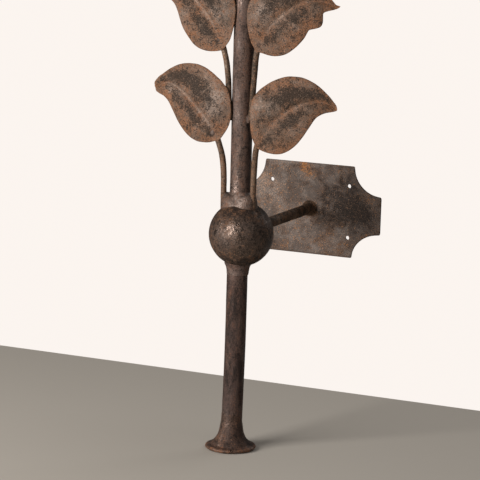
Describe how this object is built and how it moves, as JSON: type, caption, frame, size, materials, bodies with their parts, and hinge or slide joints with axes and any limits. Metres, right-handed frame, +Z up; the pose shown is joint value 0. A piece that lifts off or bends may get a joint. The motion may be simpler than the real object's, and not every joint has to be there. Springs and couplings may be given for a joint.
{
  "type": "wall torch",
  "caption": "Forged iron wall torch: a bar with a hollow ball and flared foot, climbing leaf pairs, a candle cup on top, on an arm from a scooped wall plate.",
  "frame": {"origin": "centre of the wall plate's back face, which lies on the wall", "axes": "+Y into the wall, normal to the plate's back; +Z up, along the bar; the front faces -Y"},
  "size_m": [0.2348, 0.279, 0.7255],
  "materials": {
    "plate_iron": "sheet iron, slate brown with orange rust spots",
    "bar_iron": "dark satin iron, brown patina",
    "ball_iron": "dark burnished iron, pitted",
    "leaf_iron": "sheet iron, mottled brown rust with black green patches",
    "stem_iron": "round rod, olive brown rust",
    "foot_iron": "forged iron, rusty brown with a worn rim",
    "weld_iron": "weld metal, brushed and rusted"
  },
  "bodies": {
    "root": {"arm": "bar_iron", "back_plate": "plate_iron", "ball_arm_weld": "weld_iron", "ball_lower_half": "ball_iron", "ball_seam_weld": "ball_iron", "ball_upper_half": "ball_iron", "candle_cup": "bar_iron", "drip_pan": "leaf_iron", "foot": "foot_iron", "leaf_lower_left": "leaf_iron", "leaf_lower_right": "leaf_iron", "leaf_middle_left": "leaf_iron", "leaf_middle_right": "leaf_iron", "leaf_upper_left": "leaf_iron", "leaf_upper_right": "leaf_iron", "leaf_welds": "weld_iron", "lower_collar": "weld_iron", "lower_tube": "bar_iron", "main_bar": "bar_iron", "stem_foot_welds": "weld_iron", "stem_lower_left": "stem_iron", "stem_lower_right": "stem_iron", "stem_middle_left": "stem_iron", "stem_middle_right": "stem_iron", "stem_upper_left": "stem_iron", "stem_upper_right": "stem_iron", "upper_collar": "weld_iron"}
  },
  "joints": []
}
